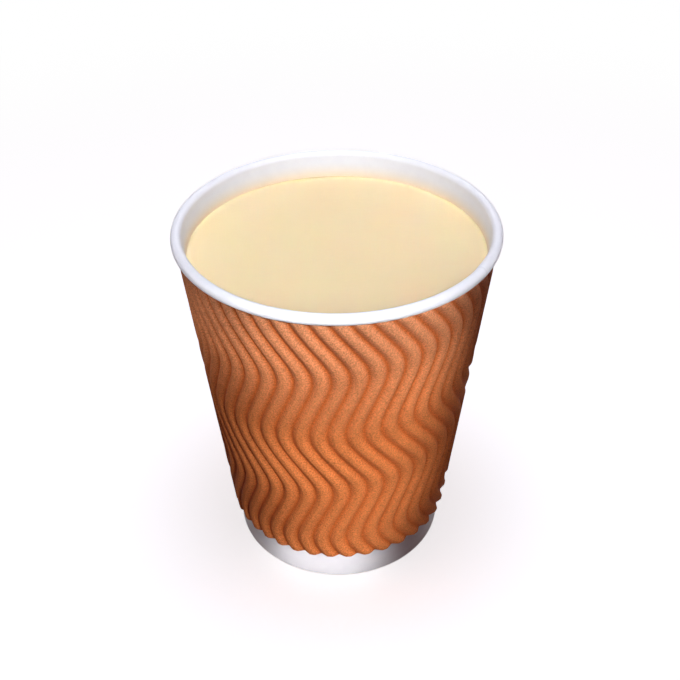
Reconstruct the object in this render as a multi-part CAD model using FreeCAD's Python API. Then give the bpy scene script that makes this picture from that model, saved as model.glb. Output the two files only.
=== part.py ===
import FreeCAD
import Part
import math
import os

# Jasmine milk tea in a paper ripple cup.
# Frame: millimetres, +Z up, origin at the middle of the foot's underside.
# Angles round the cup start at the front (-Y) and grow towards +X.

# Cup, overall
cup_height = 94.0
rim_diameter = 80.0
foot_diameter = 56.0

# Cup paper and its folds
cup_paper = 0.4
curl_diameter = 2.7         # rolled rim, across its outside
curl_gap = 0.12             # from the roll's cut edge to the side wall
foot_height = 8.9           # folded zone below the bend of the side wall
foot_lean = 2.4             # degrees that the foot leans outwards
fold_inside = 0.12          # inner radius of the two corners of the hem's fold
hem_gap = 0.8               # from the hem's upper edge to the bottom disc
wall_bend_radius = 6.0      # soft bend from foot to side wall
seam_lap = 6.0              # overlap of the side wall's glued seam
seam_angle = 62.0

# Bottom disc with its turned-down skirt
bottom_recess = 7.4         # from the ground to the disc's underside
bottom_bend_inside = 0.5
skirt_gap = 0.35            # from the skirt's lower edge to the fold's inside

# Tea
tea_below_rim = 7.1

# Corrugated kraft sleeve
sleeve_paper = 0.35
sleeve_foot_gap = 0.3       # sleeve's lower edge above the bend of the foot
sleeve_rim_gap = 0.15       # sleeve's upper edge below the rolled rim
flute_pitch = 4.45
flute_depth = 1.0          # valley to crest
crest_breadth = 0.25         # above 0, crests are broader than valleys
flute_lean = 6.44           # degrees from upright at the front
row_skew = 1.28             # degrees between the rows of bends and square
sway_reach = 3.74           # flutes swing this far to each side
sway_sharpness = 0.033
sway_length = 39.07         # one whole swing along a flute
sway_height = 35.05         # a swing to the right at the front
front_phase = -0.13          # pitches from a crest, there
lap_angle = 15.0            # overlap of the sleeve's glued ends
crush_run = 5.0             # length in which flutes flatten into the lap
lap_margin = 1.2            # flat or lifted paper past each edge of the lap
straighten_run = 13.5       # length in which the net's columns stop following the flutes

# Clearance between layers of paper, and between tea and paper
layer_gap = 0.08

# Fineness of the sleeve's surface net
columns_per_flute = 8
rows_spacing = 1.0
columns_per_face = 14


def polar(angle, radius, z):
    return FreeCAD.Vector(radius * math.sin(angle), -radius * math.cos(angle), z)


def smooth_step(x):
    x = min(1.0, max(0.0, x))
    return x * x * (3.0 - 2.0 * x)


# Sections are drawn as a strip of paper that is followed from its start.
# A move is ("run", length) or ("bend", radius, degrees), left turns positive.

def strip_edges(start, heading, moves, offset):
    """Edges of the line that keeps a distance to the left of the strip's middle."""
    x, z = start
    angle = math.radians(heading)
    edges = []
    for move in moves:
        side = FreeCAD.Vector(-math.sin(angle), 0, math.cos(angle))
        here = FreeCAD.Vector(x, 0, z)
        if move[0] == "run":
            ahead = FreeCAD.Vector(math.cos(angle), 0, math.sin(angle))
            there = here + ahead * move[1]
            edges.append(Part.LineSegment(here + side * offset, there + side * offset).toShape())
        else:
            turn = math.radians(move[2])
            swing = math.copysign(move[1], turn)
            centre = here + side * swing
            points = []
            for part in (0.0, 0.5, 1.0):
                direction = angle + turn * part
                outward = FreeCAD.Vector(math.sin(direction), 0, -math.cos(direction))
                points.append(centre + outward * (swing - offset))
            edges.append(Part.Arc(*points).toShape())
            there = centre + FreeCAD.Vector(math.sin(angle + turn), 0, -math.cos(angle + turn)) * swing
            angle += turn
        x, z = there.x, there.z
    return edges


def strip_face(start, heading, moves, thickness):
    left = strip_edges(start, heading, moves, thickness / 2)
    right = strip_edges(start, heading, moves, -thickness / 2)
    caps = []
    for edge_pair, end in (((left[0], right[0]), 0), ((left[-1], right[-1]), 1)):
        corners = []
        for edge in edge_pair:
            parameter = edge.ParameterRange[end]
            corners.append(edge.valueAt(parameter))
        caps.append(Part.LineSegment(corners[0], corners[1]).toShape())
    edges = Part.__sortEdges__(left + right + caps)
    return Part.Face(Part.Wire(edges))


def revolve(face, degrees=360.0):
    return face.revolve(FreeCAD.Vector(0, 0, 0), FreeCAD.Vector(0, 0, 1), degrees)


# Foot line: the middle of the wall's paper from the fold up to the bend.
foot_tilt = math.radians(foot_lean)
fold_radius = fold_inside + cup_paper / 2
foot_start_z = cup_paper / 2 + fold_radius
foot_start_r = foot_diameter / 2 - cup_paper / 2
bend_z = foot_height
bend_r = foot_start_r + (bend_z - foot_start_z) * math.tan(foot_tilt)

# Wall line: from the bend, just touching the middle of the rolled rim's paper.
curl_radius = (curl_diameter - cup_paper) / 2
curl_r = rim_diameter / 2 - curl_diameter / 2
curl_z = cup_height - curl_diameter / 2
to_curl = math.hypot(curl_r - bend_r, curl_z - bend_z)
wall_angle = math.atan2(curl_z - bend_z, curl_r - bend_r) + math.asin(curl_radius / to_curl)
wall_tilt = math.pi / 2 - wall_angle
wall_length = math.sqrt(to_curl ** 2 - curl_radius ** 2)
wall_half = cup_paper / 2 / math.cos(wall_tilt)
bottom_top = bottom_recess + cup_paper
curl_open = math.acos((curl_radius - cup_paper / 2 - curl_gap) / (curl_radius + cup_paper / 2))


def wall_middle(z):
    return bend_r + (z - bend_z) * math.tan(wall_tilt)


def wall_inside(z):
    """Inner radius of the side wall, also in the foot's folded zone."""
    foot_line = foot_start_r + (z - foot_start_z) * math.tan(foot_tilt)
    foot_half = cup_paper / 2 / math.cos(foot_tilt)
    return max(wall_middle(z) - wall_half, foot_line - foot_half)


def make_seam_strip(grow):
    """Second layer of paper on the wall's inside, from the bottom disc to the rolled rim.
    It starts in the middle of the wall's own paper, so that the two become one."""
    low = bottom_top + layer_gap - grow
    high = curl_z - curl_radius
    inside = -wall_half - cup_paper / math.cos(wall_tilt) - grow
    corners = []
    for z, across in ((low, inside), (high, inside), (high, 0.0), (low, 0.0)):
        corners.append(FreeCAD.Vector(wall_middle(z) + across, 0, z))
    face = Part.Face(Part.makePolygon(corners + corners[:1]))
    half_angle = math.degrees((seam_lap / 2 + grow) / wall_middle(curl_z))
    strip = revolve(face, 2 * half_angle)
    strip.rotate(FreeCAD.Vector(0, 0, 0), FreeCAD.Vector(0, 0, 1), seam_angle - 90 - half_angle)
    return strip


def make_cup_wall():
    """Side wall: hem, fold, foot, soft bend, straight wall and rolled rim."""
    fold_width = 2 * (cup_paper + layer_gap) / math.cos(foot_tilt)
    bend_run = wall_bend_radius * math.tan((wall_tilt - foot_tilt) / 2)
    foot_run = (bend_z - foot_start_z) / math.cos(foot_tilt)
    fold_in = fold_radius * math.tan((math.pi / 2 + foot_tilt) / 2)
    fold_out = fold_radius * math.tan((math.pi / 2 - foot_tilt) / 2)
    low = cup_paper / 2
    corner_r = foot_start_r - (foot_start_z - low) * math.tan(foot_tilt)
    hem_corner_r = corner_r - fold_width
    hem_top = bottom_recess - hem_gap
    hem_length = (hem_top - low) / math.cos(foot_tilt)
    start = (hem_corner_r + (hem_top - low) * math.tan(foot_tilt), hem_top)
    moves = [
        ("run", hem_length - fold_in),
        ("bend", fold_radius, 90 + foot_lean),
        ("run", fold_width - fold_in - fold_out),
        ("bend", fold_radius, 90 - foot_lean),
        ("run", foot_run + (foot_start_z - low) / math.cos(foot_tilt) - fold_out - bend_run),
        ("bend", wall_bend_radius, -math.degrees(wall_tilt - foot_tilt)),
        ("run", wall_length - bend_run),
        ("bend", curl_radius, math.degrees(curl_open) - 360),
    ]
    shell = revolve(strip_face(start, -90 - foot_lean, moves, cup_paper))
    return shell.fuse(make_seam_strip(0.0)).removeSplitter()


def make_cup_bottom():
    """Disc whose edge turns down between the wall and the wall's hem."""
    middle_z = bottom_recess + cup_paper / 2
    inward = (cup_paper + layer_gap) / math.cos(foot_tilt)
    corner_r = foot_start_r + (middle_z - foot_start_z) * math.tan(foot_tilt) - inward
    bend_radius = bottom_bend_inside + cup_paper / 2
    bend_run = bend_radius * math.tan((math.pi / 2 + foot_tilt) / 2)
    skirt = (middle_z - cup_paper - skirt_gap) / math.cos(foot_tilt)
    moves = [
        ("run", corner_r - bend_run),
        ("bend", bend_radius, -90 - foot_lean),
        ("run", skirt - bend_run),
    ]
    return revolve(strip_face((0.0, middle_z), 0.0, moves, cup_paper))


def make_tea():
    """Tea from the bottom disc up to its level, cut round the side seam's lap."""
    low = bottom_top + layer_gap
    high = cup_height - tea_below_rim
    corners = [FreeCAD.Vector(0, 0, low)]
    for z in (low, max(low + layer_gap, bend_z), high):
        corners.append(FreeCAD.Vector(wall_inside(z) - layer_gap, 0, z))
    corners.append(FreeCAD.Vector(0, 0, high))
    body = revolve(Part.Face(Part.makePolygon(corners + corners[:1])))
    return body.cut(make_seam_strip(layer_gap))


# The sleeve is cut from flat corrugated paper, so its flutes run side by side
# in the flat. The flat is the cone's development: slant is the distance from
# the cone's point, and spread is the angle from the line through the front.
sleeve_low = foot_height + sleeve_foot_gap
sleeve_high = cup_height - curl_diameter - sleeve_rim_gap
sleeve_base = wall_half + layer_gap + sleeve_paper / 2
cone_sine = math.sin(wall_tilt)
lean = math.radians(flute_lean)
row_lean = math.radians(flute_lean + row_skew)
blank_middle = -lean / cone_sine
lap = math.radians(lap_angle)
sheet_start = blank_middle - math.pi - lap / 2
sheet_end = blank_middle + math.pi + lap / 2


def slant(z):
    return (wall_middle(z) + sleeve_base + flute_depth / 2) / cone_sine


def sway(angle, z):
    """How far the flute through this place has swung to the right, in the flat."""
    along = slant(z) * math.cos(angle * cone_sine + row_lean) - slant(sway_height) * math.cos(row_lean)
    turn = 2 * math.pi * along / sway_length
    return sway_reach * (math.cos(turn) + sway_sharpness * math.cos(3 * turn))


def flute_height(angle, z):
    """0 in a valley and 1 on a crest."""
    across = slant(z) * math.sin(angle * cone_sine + lean) - slant(sway_height) * math.sin(lean)
    swing = sway(angle, z) - sway(0.0, sway_height)
    turn = 2 * math.pi * ((across - swing) / flute_pitch + front_phase)
    wave = math.cos(turn) - crest_breadth * math.cos(2 * turn)
    return (wave + 1 + crest_breadth) / 2


def sleeve_radius(angle, z):
    """Middle of the sheet: flat under the lap, lifted by one sheet over it."""
    round_mm = wall_middle(z)
    past_start = (angle - sheet_start - lap) * round_mm
    past_lift = (angle - (sheet_end - lap)) * round_mm
    fullness = smooth_step((past_start - lap_margin) / crush_run)
    lift = smooth_step((past_lift + lap_margin + crush_run) / crush_run) * (sleeve_paper + layer_gap)
    return wall_middle(z) + sleeve_base + lift + flute_depth * fullness * flute_height(angle, z)


def sleeve_point(angle, z, side):
    """Place on the outer (side 1) or inner (side -1) face of the sheet."""
    step = 1e-4
    behind = polar(angle - step, sleeve_radius(angle - step, z), z)
    ahead = polar(angle + step, sleeve_radius(angle + step, z), z)
    along = (ahead - behind).normalize()
    outward = FreeCAD.Vector(along.y, -along.x, 0)
    return polar(angle, sleeve_radius(angle, z), z) + outward * (side * sleeve_paper / 2)


def column_angle(share, z):
    """Columns follow the flutes' swing, but stand straight at the sheet's two cut ends."""
    angle = sheet_start + share * (sheet_end - sheet_start)
    from_end = min(angle - sheet_start, sheet_end - angle) * wall_middle(z)
    follow = smooth_step((from_end - lap_margin) / straighten_run)
    return angle + follow * sway(angle, z) / wall_middle(z)


def spline_through(points, parameters):
    curve = Part.BSplineCurve()
    curve.interpolate(Points=points, Parameters=parameters)
    return curve


def net_face(columns, row_parameters):
    """One smooth face through neighbouring columns; faces share the columns between them."""
    curves = [spline_through(column, row_parameters) for column in columns]
    steps = [float(i) for i in range(len(columns))]
    pole_rows = zip(*[curve.getPoles() for curve in curves])
    across = [spline_through(list(row), steps) for row in pole_rows]
    poles = [list(row) for row in zip(*[curve.getPoles() for curve in across])]
    surface = Part.BSplineSurface()
    surface.buildFromPolesMultsKnots(
        poles, across[0].getMultiplicities(), curves[0].getMultiplicities(),
        across[0].getKnots(), curves[0].getKnots(), False, False, 3, 3)
    return surface.toShape(), curves


def make_sleeve():
    """Corrugated sheet wrapped once round the cup, its two ends lapped."""
    rows = 1 + math.ceil((sleeve_high - sleeve_low) / rows_spacing)
    heights = [sleeve_low + (sleeve_high - sleeve_low) * i / (rows - 1) for i in range(rows)]
    girth = (sheet_end - sheet_start) * wall_middle(sleeve_high)
    face_count = math.ceil(girth / flute_pitch * columns_per_flute / columns_per_face)
    count = face_count * columns_per_face
    faces = []
    ends = []
    rims = ([], [])
    for side in (1, -1):
        columns = []
        for i in range(count + 1):
            angles = [column_angle(i / count, z) for z in heights]
            columns.append([sleeve_point(a, z, side) for a, z in zip(angles, heights)])
        side_curves = []
        for first in range(0, count, columns_per_face):
            face, curves = net_face(columns[first:first + columns_per_face + 1], heights)
            faces.append(face)
            side_curves += [curves[0], curves[-1]]
            for rim, z in zip(rims, (sleeve_low, sleeve_high)):
                rim += [e for e in face.Edges if abs(e.BoundBox.ZMax - z) + abs(e.BoundBox.ZMin - z) < 1e-6]
        ends.append((side_curves[0], side_curves[-1]))
    for outer, inner in zip(*ends):
        cap = Part.makeRuledSurface(outer.toShape(), inner.toShape())
        faces.append(cap)
        for rim, z in zip(rims, (sleeve_low, sleeve_high)):
            rim += [e for e in cap.Edges if abs(e.BoundBox.ZMax - z) + abs(e.BoundBox.ZMin - z) < 1e-6]
    for rim in rims:
        faces.append(Part.Face(Part.Wire(Part.__sortEdges__(rim))))
    sewn = Part.makeCompound(faces)
    sewn.sewShape(1e-4)
    solid = Part.Solid(sewn.Shells[0] if sewn.Shells else sewn)
    if solid.Volume < 0:
        solid.reverse()
    return solid


parts = {
    "cup_wall": make_cup_wall,
    "cup_bottom": make_cup_bottom,
    "sleeve": make_sleeve,
    "tea": make_tea,
}

os.makedirs("parts", exist_ok=True)
for name, make in parts.items():
    shape = make()
    if len(shape.Solids) != 1 or not shape.isValid():
        raise ValueError(name + " is not one sound solid")
    solid = shape.Solids[0]
    solid.exportStep(os.path.join("parts", name + ".step"))
    print(name, round(solid.Volume, 1), "mm3")
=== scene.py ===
import math

import bmesh
import bpy
import numpy as np
from mathutils import Matrix, Vector


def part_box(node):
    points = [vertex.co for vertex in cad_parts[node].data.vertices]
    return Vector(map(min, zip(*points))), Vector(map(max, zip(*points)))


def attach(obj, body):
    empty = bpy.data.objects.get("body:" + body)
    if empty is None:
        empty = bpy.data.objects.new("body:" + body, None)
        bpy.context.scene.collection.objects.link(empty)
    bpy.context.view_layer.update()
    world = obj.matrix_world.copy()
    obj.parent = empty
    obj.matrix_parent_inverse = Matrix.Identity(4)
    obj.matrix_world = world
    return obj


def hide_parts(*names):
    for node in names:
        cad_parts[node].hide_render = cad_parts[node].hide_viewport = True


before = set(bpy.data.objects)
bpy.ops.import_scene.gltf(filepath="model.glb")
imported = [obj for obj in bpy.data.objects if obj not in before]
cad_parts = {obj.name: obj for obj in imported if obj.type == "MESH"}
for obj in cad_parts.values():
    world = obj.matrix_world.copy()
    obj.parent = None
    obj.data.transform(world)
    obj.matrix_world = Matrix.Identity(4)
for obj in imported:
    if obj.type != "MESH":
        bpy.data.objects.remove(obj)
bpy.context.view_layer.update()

print("frame loaded")

# Sizes below are in millimetres and degrees, unless a note says otherwise.
# Angles round the cup start at the front (-Y) and grow towards +X.
metre = 0.001
fullTurn = 2 * math.pi


def nodeBox(node):
    # lowest and highest corner of a node of the frame
    low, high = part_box(node)
    return [v / metre for v in low], [v / metre for v in high]


def linear(hexColour):
    # sRGB hex to linear light, as the shader sockets expect
    channels = [int(hexColour[i:i + 2], 16) / 255 for i in (1, 3, 5)]
    return tuple(c / 12.92 if c <= 0.04045 else ((c + 0.055) / 1.055) ** 2.4
                 for c in channels) + (1.0,)


def perMetre(size):
    # scale of a noise whose spots have this size: how many of them go into a metre
    return 1 / (size * metre)


def addNode(tree, kind, settings=(), inputs=()):
    # one node with its settings, and each input either linked or given a value
    node = tree.nodes.new(kind)
    for name, value in dict(settings).items():
        setattr(node, name, value)
    for name, value in dict(inputs).items():
        if isinstance(value, bpy.types.NodeSocket):
            tree.links.new(value, node.inputs[name])
        else:
            node.inputs[name].default_value = value
    return node


def newMaterial(name):
    material = bpy.data.materials.new(name)
    material.use_nodes = True
    tree = material.node_tree
    tree.nodes.clear()
    return material, tree


def closeMaterial(tree, shader):
    addNode(tree, "ShaderNodeOutputMaterial", {}, {"Surface": shader.outputs[0]})


def smoothStep(x):
    # 0 below 0, 1 above 1, and 3 x^2 - 2 x^3 between them
    x = np.clip(x, 0.0, 1.0)
    return x * x * (3.0 - 2.0 * x)


def placeRound(angle, radius, height):
    # points on circles about the cup's axis: x = r sin a, y = -r cos a
    return np.stack(np.broadcast_arrays(radius * np.sin(angle), -radius * np.cos(angle), height),
                    axis=-1)


def gridPiece(name, points, closeU=False, closeV=False, uv=None, attributes=(), faceSlots=None,
              materials=(), caps=(), poles=False):
    # points[u, v] is a grid of places; each cell becomes one face, wound so that u x v points out.
    # Caps are rings of grid indices filled with one flat face; poles joins the points of a row
    # that lies on the axis.
    poleReach = 1e-7  # metres
    countU, countV = points.shape[:2]
    u = np.arange(countU if closeU else countU - 1)
    v = np.arange(countV if closeV else countV - 1)
    cellU, cellV = np.meshgrid(u, v, indexing="ij")
    nextU, nextV = (cellU + 1) % countU, (cellV + 1) % countV
    corners = np.stack([cellU * countV + cellV, nextU * countV + cellV,
                        nextU * countV + nextV, cellU * countV + nextV], axis=-1).reshape(-1, 4)
    slots = np.zeros(len(corners), int) if faceSlots is None else np.asarray(faceSlots).reshape(-1)
    loops = np.concatenate([corners.ravel()] + [ring for ring, slot in caps])
    totals = np.concatenate([np.full(len(corners), 4), [len(ring) for ring, slot in caps]])
    totals = totals.astype(np.int32)
    slots = np.concatenate([slots, [slot for ring, slot in caps]])

    mesh = bpy.data.meshes.new(name)
    mesh.vertices.add(countU * countV)
    mesh.vertices.foreach_set("co", (points.reshape(-1, 3) * metre).astype(np.float32).ravel())
    mesh.loops.add(len(loops))
    mesh.loops.foreach_set("vertex_index", loops.astype(np.int32))
    mesh.polygons.add(len(totals))
    mesh.polygons.foreach_set("loop_start", (np.cumsum(totals) - totals).astype(np.int32))
    mesh.polygons.foreach_set("loop_total", totals)
    mesh.polygons.foreach_set("use_smooth", np.arange(len(totals)) < len(corners))
    mesh.polygons.foreach_set("material_index", slots.astype(np.int32))
    mesh.update(calc_edges=True)
    if uv is not None:
        layer = mesh.uv_layers.new(name="flatSheet")
        layer.data.foreach_set("uv", uv.reshape(-1, 2)[loops].astype(np.float32).ravel())
    for label, values in dict(attributes).items():
        layer = mesh.attributes.new(label, "FLOAT", "POINT")
        spread = np.broadcast_to(values, (countU, countV))
        layer.data.foreach_set("value", spread.astype(np.float32).ravel())
    for material in materials:
        mesh.materials.append(material)

    if poles:
        sheet = bmesh.new()
        sheet.from_mesh(mesh)
        bmesh.ops.remove_doubles(sheet, verts=sheet.verts, dist=poleReach)
        sheet.to_mesh(mesh)
        sheet.free()
    mesh.validate()
    piece = bpy.data.objects.new(name, mesh)
    bpy.context.scene.collection.objects.link(piece)
    return piece


wallLow, wallHigh = nodeBox("cup_wall")
teaLow, teaHigh = nodeBox("tea")
sleeveLow, sleeveHigh = nodeBox("sleeve")
bottomLow, bottomHigh = nodeBox("cup_bottom")

# The cup's own shape, which wall, base, tea and sleeve all follow
cup = dict(
    height=wallHigh[2], rimRadius=40.0, footRadius=28.0, paper=0.4,
    curlDiameter=2.7, curlGap=0.12,  # rolled rim, and the room left inside the roll
    footHeight=8.9, footLean=2.4, bendRadius=6.0,  # foot band, and the bend from it to the cone
    foldInside=0.12, hemGap=0.8, layerGap=0.08,  # hem folded up inside the foot
    seamAngle=62.0, seamLap=6.0, seamStep=0.4, seamEdge=0.3, seamRows=5,  # glued side seam
    cutSquash=0.35, cutSteps=3, stepsRound=360)

footTilt = math.radians(cup["footLean"])
foldRadius = cup["foldInside"] + cup["paper"] / 2
footStartZ = cup["paper"] / 2 + foldRadius
footStartR = cup["footRadius"] - cup["paper"] / 2
bendR = footStartR + (cup["footHeight"] - footStartZ) * math.tan(footTilt)
curlRadius = (cup["curlDiameter"] - cup["paper"]) / 2
curlR = cup["rimRadius"] - cup["curlDiameter"] / 2
curlZ = cup["height"] - cup["curlDiameter"] / 2
# the cone's line leaves the bend and touches the roll's circle
toCurl = math.hypot(curlR - bendR, curlZ - cup["footHeight"])
wallAngle = math.atan2(curlZ - cup["footHeight"], curlR - bendR) + math.asin(curlRadius / toCurl)
wallTilt = math.pi / 2 - wallAngle
wallLength = math.sqrt(toCurl ** 2 - curlRadius ** 2)
wallHalf = cup["paper"] / 2 / math.cos(wallTilt)
curlOpen = math.acos((curlRadius - cup["paper"] / 2 - cup["curlGap"])
                     / (curlRadius + cup["paper"] / 2))


def wallMiddle(z):
    # radius of the middle of the wall's paper: a straight line up the cone
    return bendR + (z - cup["footHeight"]) * math.tan(wallTilt)


def wallInside(z):
    # radius of the wall's inner face: the wider of the cone's line and the foot band's line
    footMiddle = footStartR + (z - footStartZ) * math.tan(footTilt)
    return np.maximum(wallMiddle(z) - wallHalf, footMiddle - wallHalf)


def roundAngles():
    # even steps round the cup, with finer ones where the seam's two edges step
    even = np.linspace(0, fullTurn, cup["stepsRound"], endpoint=False)
    steps = cup["seamLap"] / 2 + np.linspace(-cup["seamEdge"], cup["seamEdge"], cup["seamRows"])
    edges = math.radians(cup["seamAngle"]) + np.outer([-1, 1], steps).ravel() / cup["rimRadius"]
    return np.sort(np.concatenate([even, edges]))


def seamCover(angle):
    # 1 over the glued side seam and 0 elsewhere: smooth step of half the lap less the way round
    turned = (angle - math.radians(cup["seamAngle"]) + math.pi) % fullTurn - math.pi
    away = np.abs(turned) * cup["rimRadius"]
    return smoothStep((cup["seamLap"] / 2 + cup["seamStep"] / 2 - away) / cup["seamStep"])


def stripOutline(start, heading, moves, thickness, startRound=True):
    # A strip of paper followed from its start by ("run", length, steps), straight on, and
    # ("bend", radius, degrees, steps), along an arc. The outline is that path moved half a
    # thickness to its left, then a rounded end, the path moved to its right, and a rounded start.
    x, z = start
    angle = math.radians(heading)
    places, headings = [(x, z)], [angle]
    for move in moves:
        if move[0] == "run":
            kind, length, steps = move
            t = np.arange(1, steps + 1) / steps * length
            places += list(zip(x + t * math.cos(angle), z + t * math.sin(angle)))
            headings += [angle] * steps
        else:
            kind, radius, degrees, steps = move
            turn = math.radians(degrees)
            swing = math.copysign(radius, turn)
            centreX, centreZ = x - math.sin(angle) * swing, z + math.cos(angle) * swing
            t = angle + turn * np.arange(1, steps + 1) / steps
            places += list(zip(centreX + np.sin(t) * swing, centreZ - np.cos(t) * swing))
            headings += list(t)
            angle += turn
        x, z = places[-1]
    places, headings = np.array(places), np.array(headings)
    side = np.stack([-np.sin(headings), np.cos(headings)], axis=-1) * thickness / 2

    def roundEnd(place, heading):
        # half a circle over the cut, squashed along the strip
        steps = cup["cutSteps"]
        t = heading + math.pi / 2 - math.pi * np.arange(1, steps + 1) / (steps + 1)
        ahead = np.stack([np.cos(heading) * np.ones(steps), np.sin(heading) * np.ones(steps)],
                         axis=-1)
        around = np.stack([np.cos(t), np.sin(t)], axis=-1) * thickness / 2
        along = (around * ahead).sum(axis=-1, keepdims=True) * ahead
        return place + around - along * (1 - cup["cutSquash"])

    parts = [places + side, roundEnd(places[-1], headings[-1]), (places - side)[::-1]]
    if startRound:
        parts.append(roundEnd(places[0], headings[0] + math.pi))
    return np.concatenate(parts)


board = dict(
    shade="#EBEFF7", light="#EFF3FA", film="#FBE2B8", cloudSize=3.846,
    fibreSize=0.4545, fibreDepth=0.04, knurls=90, knurlDepth=0.12,
    roughness=0.42, ior=1.51, specular=0.15)


def paperboardMaterial():
    # Cup stock: bleached paperboard with an extruded PE coat, smooth and a little waxy.
    # The eye sees a clean, faintly bluish white with a soft broad sheen and a trace of fibre cloud,
    # a cream film where the tea has wetted it, and pressed knurling inside the foot.
    material, tree = newMaterial("peCoatedPaperboard")
    place = addNode(tree, "ShaderNodeTexCoord").outputs["Object"]
    film = addNode(tree, "ShaderNodeAttribute", {"attribute_name": "film"}).outputs["Fac"]
    hem = addNode(tree, "ShaderNodeAttribute", {"attribute_name": "hem"}).outputs["Fac"]
    cloud = addNode(tree, "ShaderNodeTexNoise", {}, {
        "Vector": place, "Scale": perMetre(board["cloudSize"]), "Detail": 4.0, "Roughness": 0.6})
    # fibres of half a millimetre: real ones are finer, and would not show
    fibre = addNode(tree, "ShaderNodeTexNoise", {}, {
        "Vector": place, "Scale": perMetre(board["fibreSize"]), "Detail": 2.0})
    tone = addNode(tree, "ShaderNodeMapRange", {}, {
        "Value": cloud.outputs["Fac"], "From Min": 0.35, "From Max": 0.65})
    white = addNode(tree, "ShaderNodeMix", {"data_type": "RGBA"}, {
        "Factor": tone.outputs[0], 6: linear(board["shade"]), 7: linear(board["light"])})
    wet = addNode(tree, "ShaderNodeMix", {"data_type": "RGBA"}, {
        "Factor": film, 6: white.outputs[2], 7: linear(board["film"])})
    # knurls: sine of a multiple of the angle about the axis, 1.9 mm from one to the next
    axes = addNode(tree, "ShaderNodeSeparateXYZ", {}, {"Vector": place})
    turn = addNode(tree, "ShaderNodeMath", {"operation": "ARCTAN2"}, {
        0: axes.outputs["Y"], 1: axes.outputs["X"]})
    many = addNode(tree, "ShaderNodeMath", {"operation": "MULTIPLY"}, {
        0: turn.outputs[0], 1: board["knurls"]})
    wave = addNode(tree, "ShaderNodeMath", {"operation": "SINE"}, {0: many.outputs[0]})
    knurl = addNode(tree, "ShaderNodeMath", {"operation": "MULTIPLY"}, {
        0: wave.outputs[0], 1: hem})
    pressed = addNode(tree, "ShaderNodeBump", {}, {
        "Height": knurl.outputs[0], "Strength": 0.9, "Distance": board["knurlDepth"] * metre})
    relief = addNode(tree, "ShaderNodeBump", {}, {
        "Height": fibre.outputs["Fac"], "Strength": 0.08,
        "Distance": board["fibreDepth"] * metre, "Normal": pressed.outputs[0]})
    shader = addNode(tree, "ShaderNodeBsdfPrincipled", {}, {
        "Base Color": wet.outputs[2], "Roughness": board["roughness"], "IOR": board["ior"],
        "Specular IOR Level": board["specular"], "Normal": relief.outputs[0]})
    closeMaterial(tree, shader)
    return material


# the paler crest colour, mixed in between the two given heights, is a painted sheen towards the rim
liner = dict(
    # the valley colour is painted shade in the creases between the flutes; the crest colour is the
    # kraft's own
    valley="#C46632", crest="#DA8149", sheenCrest="#DF976C", sheenFrom=55.0, sheenFull=95.0,
    speckleSize=0.3846, speckleRange=(0.6, 1.4), speckleDepth=0.1,
    blotchSize=5.263, blotchRange=(0.93, 1.07), roughness=0.72, ior=1.5, specular=0.06)


def kraftMaterial():
    # Outer liner: kraft paper dyed orange-brown and embossed into waves, matt with short fibres.
    # The eye sees a warm saturated brown with a fine speckle. Painted shade darkens the flute
    # valleys, and a painted sheen makes the crests paler towards the rim.
    material, tree = newMaterial("dyedKraftLiner")
    place = addNode(tree, "ShaderNodeTexCoord").outputs["Object"]
    # 1 on the crests and 0 in the valleys: the mask of the painted valley shade
    crest = addNode(tree, "ShaderNodeAttribute", {"attribute_name": "crest"}).outputs["Fac"]
    # speckle of about 0.4 mm: real fibres are finer, and would not show
    speckle = addNode(tree, "ShaderNodeTexNoise", {}, {
        "Vector": place, "Scale": perMetre(liner["speckleSize"]), "Detail": 3.0, "Roughness": 0.7})
    blotch = addNode(tree, "ShaderNodeTexNoise", {}, {
        "Vector": place, "Scale": perMetre(liner["blotchSize"]), "Detail": 4.0, "Roughness": 0.55})
    # painted sheen: the crest colour grows paler from the lower given height up to the rim
    height = addNode(tree, "ShaderNodeSeparateXYZ", {}, {"Vector": place}).outputs["Z"]
    paintedSheen = addNode(tree, "ShaderNodeMapRange", {}, {
        "Value": height, "From Min": liner["sheenFrom"] * metre,
        "From Max": liner["sheenFull"] * metre})
    top = addNode(tree, "ShaderNodeMix", {"data_type": "RGBA"}, {
        "Factor": paintedSheen.outputs[0], 6: linear(liner["crest"]), 7: linear(liner["sheenCrest"])})
    # painted shade: the valleys take a darker colour than the crests
    base = addNode(tree, "ShaderNodeMix", {"data_type": "RGBA"}, {
        "Factor": crest, 6: linear(liner["valley"]), 7: top.outputs[2]})
    grain = addNode(tree, "ShaderNodeMapRange", {}, {
        "Value": speckle.outputs["Fac"], "From Min": 0.3, "From Max": 0.7,
        "To Min": liner["speckleRange"][0], "To Max": liner["speckleRange"][1]})
    patch = addNode(tree, "ShaderNodeMapRange", {}, {
        "Value": blotch.outputs["Fac"], "From Min": 0.3, "From Max": 0.7,
        "To Min": liner["blotchRange"][0], "To Max": liner["blotchRange"][1]})
    both = addNode(tree, "ShaderNodeMath", {"operation": "MULTIPLY"}, {
        0: grain.outputs[0], 1: patch.outputs[0]})
    colour = addNode(tree, "ShaderNodeVectorMath", {"operation": "SCALE"}, {
        "Vector": base.outputs[2], "Scale": both.outputs[0]})
    relief = addNode(tree, "ShaderNodeBump", {}, {
        "Height": speckle.outputs["Fac"], "Strength": 0.35,
        "Distance": liner["speckleDepth"] * metre})
    shader = addNode(tree, "ShaderNodeBsdfPrincipled", {}, {
        "Base Color": colour.outputs[0], "Roughness": liner["roughness"], "IOR": liner["ior"],
        "Specular IOR Level": liner["specular"], "Normal": relief.outputs[0]})
    closeMaterial(tree, shader)
    return material


core = dict(shade="#D9B98C", light="#FBEFD8", fibreSize=0.5556, roughness=0.85)


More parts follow.
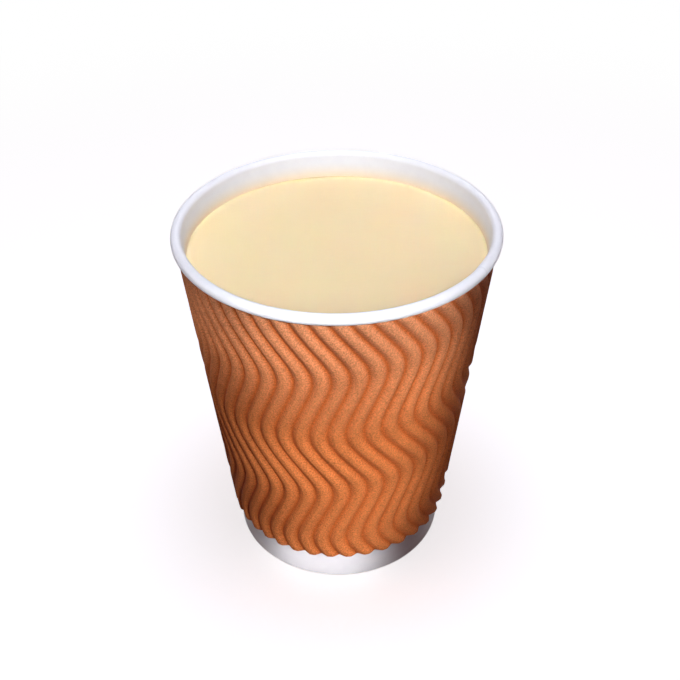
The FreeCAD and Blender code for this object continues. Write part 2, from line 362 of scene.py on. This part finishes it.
def cutEdgeMaterial():
    # Cut edge of the liner: undyed kraft core, sheared by the die.
    # The eye sees a thin matt cream line with paler and darker fibre ends.
    material, tree = newMaterial("cutPaperEdge")
    place = addNode(tree, "ShaderNodeTexCoord").outputs["Object"]
    fibre = addNode(tree, "ShaderNodeTexNoise", {}, {
        "Vector": place, "Scale": perMetre(core["fibreSize"]), "Detail": 3.0})
    colour = addNode(tree, "ShaderNodeMix", {"data_type": "RGBA"}, {
        "Factor": fibre.outputs["Fac"], 6: linear(core["shade"]), 7: linear(core["light"])})
    shader = addNode(tree, "ShaderNodeBsdfPrincipled", {}, {
        "Base Color": colour.outputs[2], "Roughness": core["roughness"]})
    closeMaterial(tree, shader)
    return material


drink = dict(
    shade="#EDD6A8", light="#F3DDAA", edge="#F7E4B0", swirlSize=45.45,
    scatterShare=0.25, scatterReach=(2.2, 1.4, 0.7), roughness=0.16, ior=1.34)


def teaMaterial():
    # Jasmine tea with milk stirred in: opaque, light is scattered a few millimetres deep.
    # The eye sees a warm cream, a little yellower at the wall, under a wet gloss.
    material, tree = newMaterial("milkTea")
    place = addNode(tree, "ShaderNodeTexCoord").outputs["Object"]
    edge = addNode(tree, "ShaderNodeAttribute", {"attribute_name": "edge"}).outputs["Fac"]
    swirl = addNode(tree, "ShaderNodeTexNoise", {}, {
        "Vector": place, "Scale": perMetre(drink["swirlSize"]), "Detail": 2.0, "Distortion": 0.6})
    body = addNode(tree, "ShaderNodeMix", {"data_type": "RGBA"}, {
        "Factor": swirl.outputs["Fac"], 6: linear(drink["shade"]), 7: linear(drink["light"])})
    colour = addNode(tree, "ShaderNodeMix", {"data_type": "RGBA"}, {
        "Factor": edge, 6: body.outputs[2], 7: linear(drink["edge"])})
    shader = addNode(tree, "ShaderNodeBsdfPrincipled", {}, {
        "Base Color": colour.outputs[2], "Roughness": drink["roughness"], "IOR": drink["ior"],
        "Subsurface Weight": drink["scatterShare"], "Subsurface Scale": 1.0,
        "Subsurface Radius": tuple(reach * metre for reach in drink["scatterReach"])})
    closeMaterial(tree, shader)
    return material


paperboard = paperboardMaterial()
kraft = kraftMaterial()
cutEdge = cutEdgeMaterial()
milkTea = teaMaterial()
print("materials made")

wall = dict(
    filmReach=4.6, filmStrength=0.9, filmFall=1.7,  # cream film above the tea
    layerTop=91.5, layerFade=0.4, rimSwell=0.1, swellBelow=0.5, swellFade=1.0,  # the seam's layer
    hemRows=8, foldRows=5, footRows=8, bendRows=3, coneRows=14, topRun=9.0, topRows=16, curlRows=40)


def makeWall():
    # Side wall: a strip of paper folded at the foot, bent to the cone and rolled into the rim.
    # Its outline is turned about the axis, and the seam moves it inwards by one paper thickness.
    half = cup["paper"] / 2
    foldWidth = 2 * (cup["paper"] + cup["layerGap"]) / math.cos(footTilt)
    foldIn = foldRadius * math.tan((math.pi / 2 + footTilt) / 2)
    foldOut = foldRadius * math.tan((math.pi / 2 - footTilt) / 2)
    bendRun = cup["bendRadius"] * math.tan((wallTilt - footTilt) / 2)
    cornerR = footStartR - (footStartZ - half) * math.tan(footTilt)
    hemTop = bottomHigh[2] - cup["paper"] - cup["hemGap"]
    hemLength = (hemTop - half) / math.cos(footTilt)
    start = (cornerR - foldWidth + (hemTop - half) * math.tan(footTilt), hemTop)
    footRun = (cup["footHeight"] - half) / math.cos(footTilt) - foldOut - bendRun
    moves = [
        ("run", hemLength - foldIn, wall["hemRows"]),
        ("bend", foldRadius, 90 + cup["footLean"], wall["foldRows"]),
        ("run", foldWidth - foldIn - foldOut, 1),
        ("bend", foldRadius, 90 - cup["footLean"], wall["foldRows"]),
        ("run", footRun, wall["footRows"]),
        ("bend", cup["bendRadius"], -math.degrees(wallTilt - footTilt), wall["bendRows"]),
        ("run", wallLength - bendRun - wall["topRun"], wall["coneRows"]),
        ("run", wall["topRun"], wall["topRows"]),
        ("bend", curlRadius, math.degrees(curlOpen) - 360, wall["curlRows"]),
    ]
    outline = stripOutline(start, -90 - cup["footLean"], moves, cup["paper"])
    radii, heights = outline[:, 0], outline[:, 1]
    rank = np.arange(len(outline))
    rollStart = 1 + sum(move[-1] for move in moves[:-1])
    inner = (rank < rollStart) & (heights > bottomHigh[2] + half)
    rolled = (rank >= rollStart) & (rank < rollStart + wall["curlRows"])
    angle = roundAngles()[:, None]
    cover = seamCover(angle)
    # the seam's second layer stands inside the wall and swells the roll above it
    layerShare = smoothStep((wall["layerTop"] - heights) / wall["layerFade"])
    layer = np.where(inner, cup["paper"] * layerShare, 0.0)
    swellShare = smoothStep((heights - curlZ + wall["swellBelow"]) / wall["swellFade"])
    swell = np.where(rolled, wall["rimSwell"] * swellShare, 0.0)
    fromRoll = np.stack([radii - curlR, heights - curlZ], axis=-1)
    fromRoll /= np.linalg.norm(fromRoll, axis=-1, keepdims=True)
    grid = placeRound(angle, radii + cover * (swell * fromRoll[:, 0] - layer),
                      heights + cover * swell * fromRoll[:, 1])
    # film: falls off with the height above the tea as (1 - rise / reach) ^ fall
    rise = np.clip((heights - teaHigh[2]) / wall["filmReach"], 0.0, 1.0)
    film = np.where(inner, wall["filmStrength"] * (1 - rise) ** wall["filmFall"], 0.0)
    # the knurled hem is the first run of the strip, on both of its sides
    fromEnd = len(outline) - cup["cutSteps"] - rank
    hem = np.where((rank >= 1) & (rank < wall["hemRows"]) | (fromEnd < wall["hemRows"]), 1.0, 0.0)
    return gridPiece("cupWall", grid[:, ::-1], closeU=True, closeV=True,
                     attributes={"film": film[::-1], "hem": hem[::-1]}, materials=[paperboard])


base = dict(cornerInside=0.5, flatRows=30, cornerRows=8, skirtRows=10)


def makeBottom():
    # Base disc: a strip from the axis outwards, bent down into the skirt that the hem holds,
    # with its outline turned about the axis.
    middleZ = bottomHigh[2] - cup["paper"] / 2
    inward = (cup["paper"] + cup["layerGap"]) / math.cos(footTilt)
    cornerR = footStartR + (middleZ - footStartZ) * math.tan(footTilt) - inward
    bendRadius = base["cornerInside"] + cup["paper"] / 2
    bendRun = bendRadius * math.tan((math.pi / 2 + footTilt) / 2)
    skirt = (middleZ - bottomLow[2]) / math.cos(footTilt)
    outline = stripOutline((0.0, middleZ), 0.0, [
        ("run", cornerR - bendRun, base["flatRows"]),
        ("bend", bendRadius, -90 - cup["footLean"], base["cornerRows"]),
        ("run", skirt - bendRun, base["skirtRows"]),
    ], cup["paper"], startRound=False)
    angle = np.linspace(0, fullTurn, cup["stepsRound"], endpoint=False)
    grid = placeRound(angle[:, None], outline[None, ::-1, 0], outline[None, ::-1, 1])
    return gridPiece("cupBottom", grid, closeU=True, poles=True, materials=[paperboard])


tea = dict(
    intoWall=0.12, climb=0.3, climbReach=0.9, yellowReach=2.2,  # against the wall
    flatShare=0.9, flatRows=40, edgeRows=25, edgeCrowding=1.6, sideRows=29, floorRows=11,
    seamFrom=20.0, seamFade=5.0)


def makeTea():
    # Tea: the inside of the cup turned about the axis, under a level top that climbs the wall
    # a little. The top's height falls off exponentially with the distance from the wall.
    level, low = teaHigh[2], teaLow[2]
    topR = float(wallInside(level)) + tea["intoWall"]
    toWall = (1 - np.linspace(0, 1, tea["edgeRows"] + 1)[1:]) ** tea["edgeCrowding"]
    shares = np.concatenate([np.linspace(0.0, tea["flatShare"], tea["flatRows"]),
                             1 - (1 - tea["flatShare"]) * toWall])
    topRadii = topR * shares
    topHeights = level + tea["climb"] * np.exp(-(topR - topRadii) / tea["climbReach"])
    sideHeights = np.linspace(level + tea["climb"], low, tea["sideRows"] + 1)[1:]
    sideRadii = wallInside(sideHeights) + tea["intoWall"]
    floorRadii = sideRadii[-1] * np.linspace(1, 0.0, tea["floorRows"] + 1)[1:]
    radii = np.concatenate([topRadii, sideRadii, floorRadii])
    heights = np.concatenate([topHeights, sideHeights, np.full(tea["floorRows"], low)])
    edge = np.concatenate([smoothStep(1 - (topR - topRadii) / tea["yellowReach"]),
                           np.ones(tea["sideRows"] + tea["floorRows"])])
    # over the wall's seam the tea stops one paper thickness sooner
    angle = roundAngles()[:, None]
    radii = radii[None, ::-1]
    held = seamCover(angle) * smoothStep((radii - tea["seamFrom"]) / tea["seamFade"])
    grid = placeRound(angle, radii - cup["paper"] * held, heights[None, ::-1])
    return gridPiece("teaBody", grid, closeU=True, poles=True, attributes={"edge": edge[::-1]},
                     materials=[milkTea])


sleeve = dict(
    paper=0.35, flutePitch=4.45, fluteDepth=1.0, fluteLean=6.44, rowSkew=1.28, frontPhase=-0.13,
    crestBreadth=0.25, flank=0.34, flankBend=1.12, creaseRound=0.03,  # a flute's section
    swayReach=3.74, swaySharpness=0.033, swayLength=39.07, swayHeight=35.05,
    lapAngle=15.0, crushRun=5.0, lapMargin=1.2, straightenRun=13.5,  # glued lap at the back
    # the last two numbers of the next row set the painted valley shade: how far up the flanks it
    # reaches, and its even level on the flat lap
    edgeRound=0.05, edgeTaper=0.7, valleyShadeGain=1.6, lapShadeLevel=0.4,
    columnsPerFlute=18, outerRows=72, innerRows=16)

coneSine = math.sin(wallTilt)
sleeveBase = wallHalf + cup["layerGap"] + sleeve["paper"] / 2
lean = math.radians(sleeve["fluteLean"])
rowLean = math.radians(sleeve["fluteLean"] + sleeve["rowSkew"])
blankMiddle = -lean / coneSine
lap = math.radians(sleeve["lapAngle"])
sheetStart = blankMiddle - math.pi - lap / 2
sheetEnd = blankMiddle + math.pi + lap / 2


def slant(z):
    # distance from the cone's point along its side, which is the radius in the flat sheet
    return (wallMiddle(z) + sleeveBase + sleeve["fluteDepth"] / 2) / coneSine


def sway(angle, z):
    # cosine swing of the flutes along their length, with a trace of the third harmonic
    along = (slant(z) * np.cos(angle * coneSine + rowLean)
             - slant(sleeve["swayHeight"]) * math.cos(rowLean))
    turn = fullTurn * along / sleeve["swayLength"]
    return sleeve["swayReach"] * (np.cos(turn) + sleeve["swaySharpness"] * np.cos(3 * turn))


def fluteCount(angle, z):
    # flutes passed on the flat sheet: (way across the flutes - sway) / pitch, a crest at each whole
    across = (slant(z) * np.sin(angle * coneSine + lean)
              - slant(sleeve["swayHeight"]) * math.sin(lean))
    swing = sway(angle, z) - sway(0.0, sleeve["swayHeight"])
    return (across - swing) / sleeve["flutePitch"] + sleeve["frontPhase"]


def crestHeight(angle, z):
    # inner face, 0 in a valley and 1 on a crest: cos turn - breadth * cos 2 turn, brought there
    turn = fullTurn * fluteCount(angle, z)
    wave = np.cos(turn) - sleeve["crestBreadth"] * np.cos(2 * turn)
    return (wave + 1 + sleeve["crestBreadth"]) / 2


def embossHeight(angle, z):
    # outer face, broad crests and creased valleys: 1 - (1 - t / flank) ^ bend, t being the part
    # of a pitch from the valley
    part = fluteCount(angle, z) % 1.0 - 0.5
    t = np.sqrt(part ** 2 + sleeve["creaseRound"] ** 2) - sleeve["creaseRound"]
    return 1 - np.clip(1 - t / sleeve["flank"], 0.0, 1.0) ** sleeve["flankBend"]


def sheetRadius(angle, z):
    # middle of the valleys, lifted by one sheet over the lap, and how full the flutes stand:
    # 0 where the lap is crushed flat and 1 elsewhere
    roundWall = wallMiddle(z)
    fromStart = (angle - sheetStart - lap) * roundWall - sleeve["lapMargin"]
    fromLap = (angle - sheetEnd + lap) * roundWall + sleeve["lapMargin"]
    fullness = smoothStep(fromStart / sleeve["crushRun"])
    lift = smoothStep(fromLap / sleeve["crushRun"] + 1)
    return roundWall + sleeveBase + lift * (sleeve["paper"] + cup["layerGap"]), fullness


def makeSleeve():
    # Sleeve: kraft cut flat with parallel swaying flutes and wrapped once round the cone. The
    # grid's rows go up the outer face and down the inner one, its columns follow the flutes.
    low, high = sleeveLow[2], sleeveHigh[2]
    lowRound, highRound = low + sleeve["edgeRound"], high - sleeve["edgeRound"]
    outerZ = np.concatenate([[low], np.linspace(lowRound, highRound, sleeve["outerRows"]), [high]])
    innerZ = np.concatenate([[high], np.linspace(highRound, lowRound, sleeve["innerRows"]), [low]])
    heights = np.concatenate([outerZ, innerZ])
    outer, rows = len(outerZ), len(heights)
    sides = np.concatenate([np.full(outer, 0.5), np.full(rows - outer, -0.5)]) * sleeve["paper"]
    sides[[0, outer - 1, outer, -1]] *= sleeve["edgeTaper"]
    girth = (sheetEnd - sheetStart) * wallMiddle(high)
    count = int(girth / sleeve["flutePitch"] * sleeve["columnsPerFlute"])
    share = np.linspace(0, 1, count)[:, None]
    z = np.broadcast_to(heights[None, :], (count, rows))
    angle = sheetStart + share * (sheetEnd - sheetStart) + 0 * z
    fromEnd = np.minimum(angle - sheetStart, sheetEnd - angle) * wallMiddle(z)
    follow = smoothStep((fromEnd - sleeve["lapMargin"]) / sleeve["straightenRun"])
    angle = angle + follow * sway(angle, z) / wallMiddle(z)
    radius, fullness = sheetRadius(angle, z)
    wave = np.where(sides > 0, embossHeight(angle, z), crestHeight(angle, z))
    grid = placeRound(angle, radius + sides + sleeve["fluteDepth"] * fullness * wave, z)
    # the cut edges: three rows of faces at the top and at the foot, and one face at each end
    slots = np.zeros((count - 1, rows), int)
    slots[:, [0, outer - 2, outer - 1, outer, rows - 2, rows - 1]] = 1
    ends = [(np.arange(rows)[::-1], 1), ((count - 1) * rows + np.arange(rows), 1)]
    # mask of the painted valley shade: 0 in the valleys, 1 from part way up the flanks, a middle
    # level on the crushed lap
    crest = sleeve["valleyShadeGain"] * (fullness * wave + (1 - fullness) * sleeve["lapShadeLevel"])
    return gridPiece("sleeveSheet", grid, closeV=True,
                     attributes={"crest": np.clip(crest, 0.0, 1.0)},
                     uv=np.stack([angle * slant(z) * coneSine, z], axis=-1), faceSlots=slots,
                     materials=[kraft, cutEdge], caps=ends)


pieces = [
    (makeWall(), "cup_wall", "coated_paperboard"),
    (makeBottom(), "cup_bottom", "bottom_paperboard"),
    (makeTea(), "tea", "milk_tea"),
    (makeSleeve(), "sleeve", "kraft_corrugated"),
]
for piece, node, slot in pieces:
    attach(piece, "root")
    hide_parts(node)
    print(piece.name, len(piece.data.polygons), "faces")
wallPiece, bottomPiece, teaPiece, sleevePiece = [piece for piece, node, slot in pieces]

# Backdrop: white to the eye, while what it throws back on the cup is dim and warm
backdrop = dict(
    white="#FFFFFF", floorGlow=0.72, floorBounce="#5C3430", plainFrom=100.0, plainFull=400.0,
    reach=4000.0, worldBounce="#B8706C", worldStrength=0.2)


def seenDirectly(tree):
    # 1 for rays that show the surface itself: from the camera, by gloss or through a clear thing
    path = addNode(tree, "ShaderNodeLightPath")
    mirrored = addNode(tree, "ShaderNodeMath", {"operation": "MAXIMUM"}, {
        0: path.outputs["Is Glossy Ray"], 1: path.outputs["Is Transmission Ray"]})
    return addNode(tree, "ShaderNodeMath", {"operation": "MAXIMUM"}, {
        0: path.outputs["Is Camera Ray"], 1: mirrored.outputs[0]})


def makeFloor():
    # Floor: painted board, matt white with a glow of its own, so that only the shadow shows.
    # Plain glow takes over away from the cup, where the lamps fade, and from below it is clear.
    material, tree = newMaterial("paleFloor")
    white = linear(backdrop["white"])
    seen = seenDirectly(tree)
    pale = addNode(tree, "ShaderNodeBsdfDiffuse", {}, {"Color": white})
    glow = addNode(tree, "ShaderNodeEmission", {}, {
        "Color": white, "Strength": backdrop["floorGlow"]})
    shown = addNode(tree, "ShaderNodeAddShader", {}, {0: pale.outputs[0], 1: glow.outputs[0]})
    dim = addNode(tree, "ShaderNodeBsdfDiffuse", {}, {"Color": linear(backdrop["floorBounce"])})
    place = addNode(tree, "ShaderNodeTexCoord").outputs["Object"]
    far = addNode(tree, "ShaderNodeVectorMath", {"operation": "LENGTH"}, {0: place})
    fade = addNode(tree, "ShaderNodeMapRange", {"interpolation_type": "SMOOTHSTEP"}, {
        "Value": far.outputs["Value"], "From Min": backdrop["plainFrom"] * metre,
        "From Max": backdrop["plainFull"] * metre})
    plain = addNode(tree, "ShaderNodeEmission", {}, {"Color": white, "Strength": 1.0})
    even = addNode(tree, "ShaderNodeMixShader", {}, {
        0: fade.outputs[0], 1: shown.outputs[0], 2: plain.outputs[0]})
    mix = addNode(tree, "ShaderNodeMixShader", {}, {
        0: seen.outputs[0], 1: dim.outputs[0], 2: even.outputs[0]})
    clear = addNode(tree, "ShaderNodeBsdfTransparent")
    behind = addNode(tree, "ShaderNodeNewGeometry").outputs["Backfacing"]
    oneSided = addNode(tree, "ShaderNodeMixShader", {}, {
        0: behind, 1: mix.outputs[0], 2: clear.outputs[0]})
    closeMaterial(tree, oneSided)
    # a flat square: x and y from minus to plus the reach, at height 0
    line = np.array([-backdrop["reach"], backdrop["reach"]])
    x, y = np.meshgrid(line, line, indexing="ij")
    floor = gridPiece("floor", np.stack([x, y, 0 * x], axis=-1), materials=[material])
    return floor


def makeWorld():
    # World: white where it is seen, a weak warm fill for everything else
    world = bpy.data.worlds.new("studio")
    world.use_nodes = True
    tree = world.node_tree
    tree.nodes.clear()
    seen = seenDirectly(tree)
    dim = addNode(tree, "ShaderNodeBackground", {}, {
        "Color": linear(backdrop["worldBounce"]), "Strength": backdrop["worldStrength"]})
    white = addNode(tree, "ShaderNodeBackground", {}, {
        "Color": linear(backdrop["white"]), "Strength": 1.0})
    mix = addNode(tree, "ShaderNodeMixShader", {}, {
        0: seen.outputs[0], 1: dim.outputs[0], 2: white.outputs[0]})
    addNode(tree, "ShaderNodeOutputWorld", {}, {"Surface": mix.outputs[0]})
    bpy.context.scene.world = world


def aim(thing, place, target, roll=0.0):
    # turns -Z towards the target with Y up, then rolls the thing about its own Z
    thing.location = Vector(place) * metre
    direction = Vector(target) * metre - thing.location
    facing = direction.to_track_quat("-Z", "Y").to_matrix()
    thing.rotation_euler = (facing @ Matrix.Rotation(math.radians(roll), 3, "Z")).to_euler()


def placeAbout(target, azimuth, elevation, distance):
    # azimuth from the front towards +X: x grows with its sine and y falls with its cosine
    a, e = math.radians(azimuth), math.radians(elevation)
    return (target[0] + distance * math.sin(a) * math.cos(e),
            target[1] - distance * math.cos(a) * math.cos(e),
            target[2] + distance * math.sin(e))


def addLamp(name, azimuth, elevation, target, size, power, distance=450, colour="#FFFFFF",
            spread=180.0, roll=0.0):
    # oval softbox; power is in watts
    data = bpy.data.lights.new(name, "AREA")
    data.shape = "ELLIPSE"
    data.size, data.size_y = size[0] * metre, size[1] * metre
    data.energy = power
    data.color = linear(colour)[:3]
    data.spread = math.radians(spread)
    lamp = bpy.data.objects.new(name, data)
    bpy.context.scene.collection.objects.link(lamp)
    aim(lamp, placeAbout(target, azimuth, elevation, distance), target, roll)
    lamp.visible_camera = False
    return lamp


def lightOnly(name, things, lamps, throughFloor=False):
    # these lamps reach these things alone, and may shine up through the floor
    receivers = bpy.data.collections.new(name)
    for thing in things:
        receivers.objects.link(thing)
    for lampName, values in lamps.items():
        lamp = addLamp(lampName, **values)
        lamp.light_linking.receiver_collection = receivers
        if throughFloor:
            lamp.light_linking.blocker_collection = cupParts


camera = dict(lens=57.105, sensor=36.0, target=(0.57, 0.0, 58.79), elevation=36.3731,
              distance=280.81, roll=-0.4681)


def makeCamera():
    # looks down on the cup from the front, turned a trace about its own axis
    data = bpy.data.cameras.new("camera")
    data.sensor_width = camera["sensor"]
    data.lens = camera["lens"]
    data.clip_start, data.clip_end = 0.01, 20.0  # metres
    eye = bpy.data.objects.new("camera", data)
    bpy.context.scene.collection.objects.link(eye)
    place = placeAbout(camera["target"], 0, camera["elevation"], camera["distance"])
    aim(eye, place, camera["target"], camera["roll"])
    bpy.context.scene.camera = eye


floor = makeFloor()
makeWorld()
cupParts = bpy.data.collections.new("cupParts")
for piece, node, slot in pieces:
    cupParts.objects.link(piece)

# Each part has softboxes of its own, so that each shows at about the level its colour is written.
# With a narrow spread the light leaves a softbox nearly straight, and its size is the lit patch.
sleeveLamps = dict(
    key=dict(azimuth=16, elevation=40, target=(-4.8, 0, 52), size=(48.5, 132), power=0.0192,
             spread=4.1, roll=-3.5),
    leftSpot=dict(azimuth=-38, elevation=40, target=(-28, -25, 79), size=(46, 28), power=0.0013,
                  spread=4),
    back=dict(azimuth=190, elevation=38, target=(0, 0, 50), size=(160, 200), power=0.7))
wallLamps = dict(
    mouthLeft=dict(azimuth=-34, elevation=42, target=(0, 0, 95), size=(82, 84), power=0.0090,
                   spread=4),
    mouthRight=dict(azimuth=34, elevation=42, target=(0, 0, 95), size=(82, 84), power=0.0090,
                    spread=4),
    rimFront=dict(azimuth=0, elevation=15, target=(0, -40, 92), size=(62, 8), power=0.0012,
                  spread=2.5),
    overheadCup=dict(azimuth=0, elevation=89, distance=420, target=(0, 0, 90), size=(260, 260),
                     power=0.55, colour="#DCEAFF"),
    foot=dict(azimuth=-2, elevation=20, target=(-4.5, -28, 5), size=(33, 14), power=0.0014,
              spread=2.5, colour="#FFFAF8"),
    footBack=dict(azimuth=180, elevation=30, target=(0, 0, 40), size=(200, 200), power=0.3))
teaLamps = dict(
    drinkSpot=dict(azimuth=0, elevation=45, target=(-5, 2, 97), size=(90, 64), power=0.0107,
                   spread=4))
overheadLamps = dict(
    overhead=dict(azimuth=0, elevation=89, distance=420, target=(0, 0, 90), size=(260, 260),
                  power=1.05, colour="#DCEAFF"))
undersideLamps = dict(
    underside=dict(azimuth=0, elevation=-88, distance=300, target=(0, 0, 0), size=(48, 48),
                   power=0.0036, spread=4))

lightOnly("sleeveOnly", [sleevePiece], sleeveLamps)
lightOnly("cupOnly", [wallPiece], wallLamps)
lightOnly("drinkOnly", [teaPiece], teaLamps)
lightOnly("drinkAndFloor", [teaPiece, floor], overheadLamps)
lightOnly("undersideOnly", [wallPiece, bottomPiece], undersideLamps, throughFloor=True)
makeCamera()
bpy.context.scene.view_settings.view_transform = "Standard"
print("stage set")
